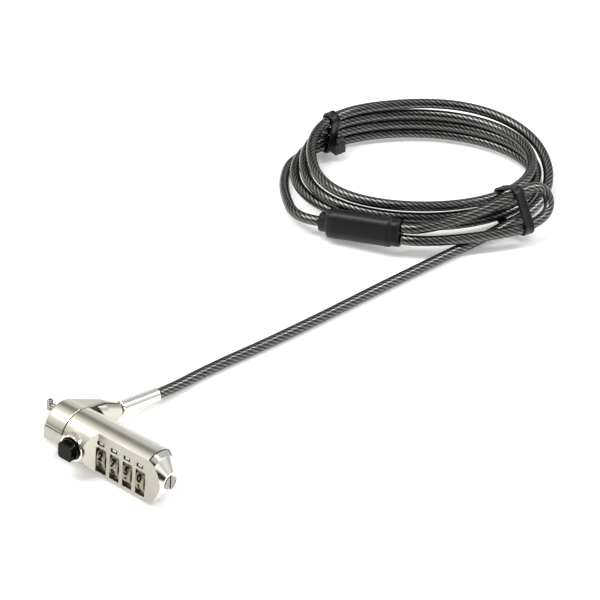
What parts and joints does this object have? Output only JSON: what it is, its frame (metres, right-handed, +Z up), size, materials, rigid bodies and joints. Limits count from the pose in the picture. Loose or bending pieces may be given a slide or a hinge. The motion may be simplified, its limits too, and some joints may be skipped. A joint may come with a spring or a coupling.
{
  "type": "laptop cable lock",
  "caption": "Four-dial barrel lock head with a push button and a turning T-bar tip, on a swivelling collar with a coiled, looped steel cable.",
  "frame": {"origin": "on the surface it lies on, under the middle of the lock head with its cable collar and ferrule (the cable left out)", "axes": "+X along the head from the T-bar tip to the dial end, +Y to the back where the cable leaves, +Z up"},
  "size_m": [0.1123, 0.2733, 0.0227],
  "materials": {
    "satin_nickel": "satin nickel plate, warm",
    "polished_nickel": "polished nickel plate",
    "inner_steel": "machined steel",
    "spring_steel": "spring steel",
    "hub_brass": "turned brass",
    "button_black": "glossy black",
    "washer_black": "matt black",
    "cable_black": "smoked clear vinyl over twisted steel strands",
    "sleeve_black": "satin black heat-shrink",
    "tie_black": "black nylon",
    "crimp_alloy": "pressed aluminium"
  },
  "bodies": {
    "cable": {"ferrule": "polished_nickel", "swivel_pin": "inner_steel", "swivel_washer": "washer_black", "cable_run": "cable_black", "cable_coil": "cable_black", "cable_eye": "cable_black", "eye_sleeve": "sleeve_black", "eye_crimp": "crimp_alloy", "tie_left": "tie_black", "tie_right": "tie_black"},
    "collar": {"swivel_collar": "satin_nickel"},
    "housing": {"housing": "satin_nickel", "end_cap": "polished_nickel", "nose_core": "inner_steel", "nose_plate": "inner_steel", "nose_screws": "inner_steel", "button_bezel": "polished_nickel", "button_cage": "inner_steel", "dial_shaft": "inner_steel", "dial_washer": "inner_steel", "detent_spring": "spring_steel", "tip_spring": "spring_steel"},
    "button": {"push_button": "button_black", "button_rack": "inner_steel"},
    "tip": {"lock_tip": "polished_nickel", "tip_spindle": "inner_steel", "tip_pinion": "inner_steel"},
    "bar": {"lock_bar": "inner_steel"},
    "reset": {"reset_screw": "polished_nickel"},
    "dial_1": {"dial_1": "satin_nickel", "dial_hub_1": "hub_brass"},
    "dial_2": {"dial_2": "satin_nickel", "dial_hub_2": "hub_brass"},
    "dial_3": {"dial_3": "satin_nickel", "dial_hub_3": "hub_brass"},
    "dial_4": {"dial_4": "satin_nickel", "dial_hub_4": "hub_brass"}
  },
  "joints": [
    {"name": "ferrule_swivel", "type": "hinge", "parent": "cable", "child": "collar", "pos_m": [-0.0184, -0.013, 0.0102], "axis": [0.1409, 0.9776, -0.1564], "continuous": true},
    {"name": "collar_swivel", "type": "hinge", "parent": "collar", "child": "housing", "pos_m": [-0.0241, -0.013, 0.0102], "axis": [1, 0, 0], "range_deg": [0, 75]},
    {"name": "button_slide", "type": "slide", "parent": "housing", "child": "button", "axis": [0, 0.9945, -0.1045], "range_m": [0, 0.0022], "stiffness_N_per_m": 500, "springref_m": -0.002},
    {"name": "tip_turn", "type": "hinge", "parent": "housing", "child": "tip", "pos_m": [-0.0241, -0.01251, 0.01487], "axis": [1, 0, 0], "range_deg": [0, 90.5]},
    {"name": "bar_slide", "type": "slide", "parent": "housing", "child": "bar", "axis": [1, 0, 0], "range_m": [0, 0.0006]},
    {"name": "reset_turn", "type": "hinge", "parent": "housing", "child": "reset", "pos_m": [0.0285, -0.013, 0.0102], "axis": [1, 0, 0], "range_deg": [0, 90]},
    {"name": "dial_1_turn", "type": "hinge", "parent": "housing", "child": "dial_1", "pos_m": [0.0011, -0.01275, 0.00786], "axis": [1, 0, 0], "continuous": true},
    {"name": "dial_2_turn", "type": "hinge", "parent": "housing", "child": "dial_2", "pos_m": [0.0073, -0.01275, 0.00786], "axis": [1, 0, 0], "continuous": true},
    {"name": "dial_3_turn", "type": "hinge", "parent": "housing", "child": "dial_3", "pos_m": [0.0135, -0.01275, 0.00786], "axis": [1, 0, 0], "continuous": true},
    {"name": "dial_4_turn", "type": "hinge", "parent": "housing", "child": "dial_4", "pos_m": [0.0197, -0.01275, 0.00786], "axis": [1, 0, 0], "continuous": true}
  ],
  "couplings": [
    {"joint": "tip_turn", "follows": "button_slide", "rad_per_m": 714},
    {"joint": "bar_slide", "follows": "button_slide", "ratio": 0.2727}
  ]
}
